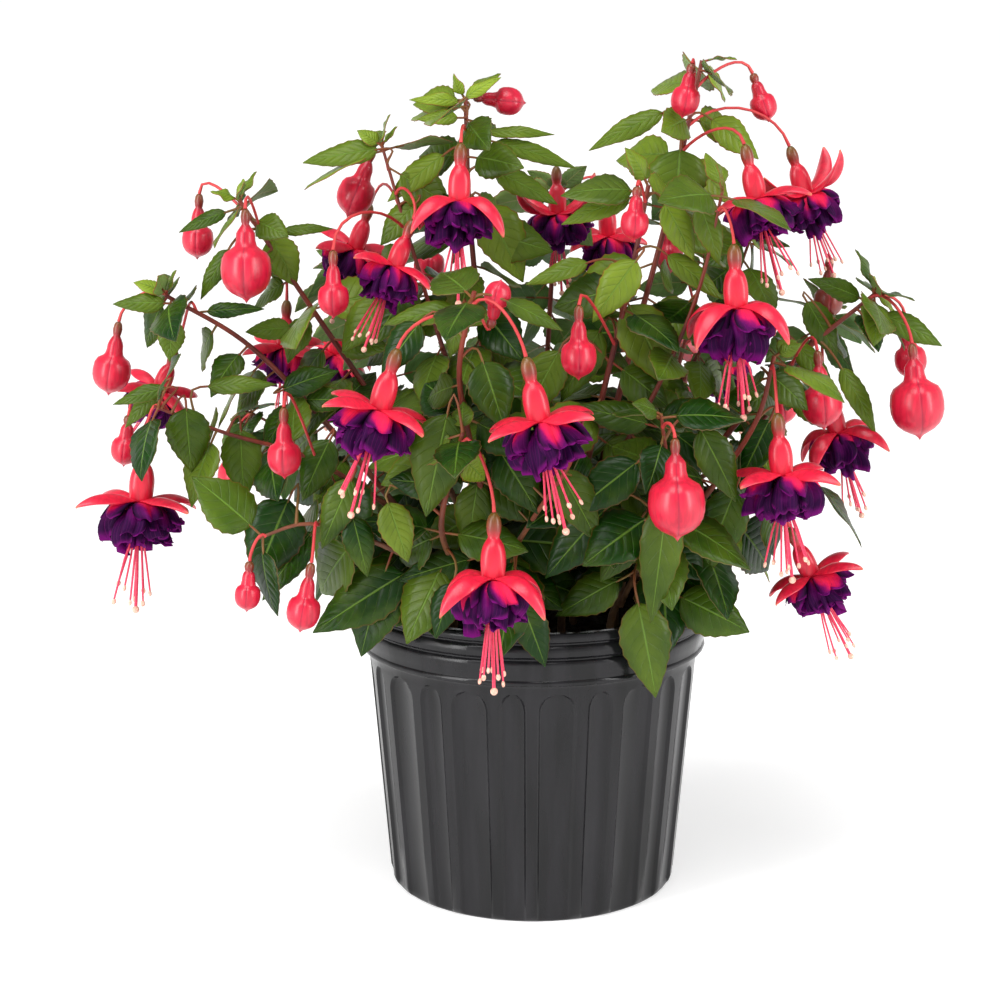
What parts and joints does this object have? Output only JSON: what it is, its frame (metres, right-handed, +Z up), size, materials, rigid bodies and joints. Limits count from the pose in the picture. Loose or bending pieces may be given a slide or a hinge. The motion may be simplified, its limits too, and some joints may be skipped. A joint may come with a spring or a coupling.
{
  "type": "potted fuchsia plant",
  "caption": "Bushy double fuchsia with hanging coral red and deep violet blooms in a black fluted plastic nursery pot.",
  "frame": {"origin": "middle of the pot's flat base, on the surface that it stands on", "axes": "+Z up the pot's axis, -Y towards the side that the picture shows, +X to the right of that view"},
  "size_m": [0.4673, 0.3879, 0.4751],
  "materials": {
    "pot_plastic": "satin black moulded plastic",
    "potting_mix": "dark crumbly peat",
    "leaves_and_stems": "satin green leaves on maroon stems",
    "calyx": "waxy coral red",
    "corolla": "velvety deep violet"
  },
  "bodies": {
    "root": {"pot": "pot_plastic", "potting_mix": "potting_mix", "shoot_high_left": "leaves_and_stems", "shoot_left": "leaves_and_stems", "shoot_top_left": "leaves_and_stems", "shoot_front_left": "leaves_and_stems", "shoot_high_right": "leaves_and_stems", "shoot_centre_right": "leaves_and_stems", "shoot_right": "leaves_and_stems", "shoot_low_right": "leaves_and_stems", "shoot_low_left": "leaves_and_stems", "shoot_rear_left": "leaves_and_stems", "shoot_rear_middle": "leaves_and_stems", "shoot_rear_right": "leaves_and_stems", "bloom_01_calyx": "calyx", "bloom_01_corolla": "corolla", "bloom_02_calyx": "calyx", "bloom_02_corolla": "corolla", "bloom_03_calyx": "calyx", "bloom_03_corolla": "corolla", "bloom_04_calyx": "calyx", "bloom_04_corolla": "corolla", "bloom_05_calyx": "calyx", "bloom_05_corolla": "corolla", "bloom_06_calyx": "calyx", "bloom_06_corolla": "corolla", "bloom_07_calyx": "calyx", "bloom_07_corolla": "corolla", "bloom_08_calyx": "calyx", "bloom_08_corolla": "corolla", "bloom_09_calyx": "calyx", "bloom_09_corolla": "corolla", "bloom_10_calyx": "calyx", "bloom_10_corolla": "corolla", "bloom_11_calyx": "calyx", "bloom_11_corolla": "corolla", "bloom_12_calyx": "calyx", "bloom_12_corolla": "corolla", "bloom_13_calyx": "calyx", "bloom_13_corolla": "corolla", "bloom_14_calyx": "calyx", "bloom_14_corolla": "corolla", "bloom_15_calyx": "calyx", "bloom_15_corolla": "corolla", "bloom_16_calyx": "calyx", "bloom_16_corolla": "corolla", "bloom_17_calyx": "calyx", "bloom_17_corolla": "corolla", "bloom_18_calyx": "calyx", "bloom_18_corolla": "corolla", "bloom_19_calyx": "calyx", "bloom_19_corolla": "corolla", "bloom_20_calyx": "calyx", "bloom_20_corolla": "corolla"}
  },
  "joints": []
}
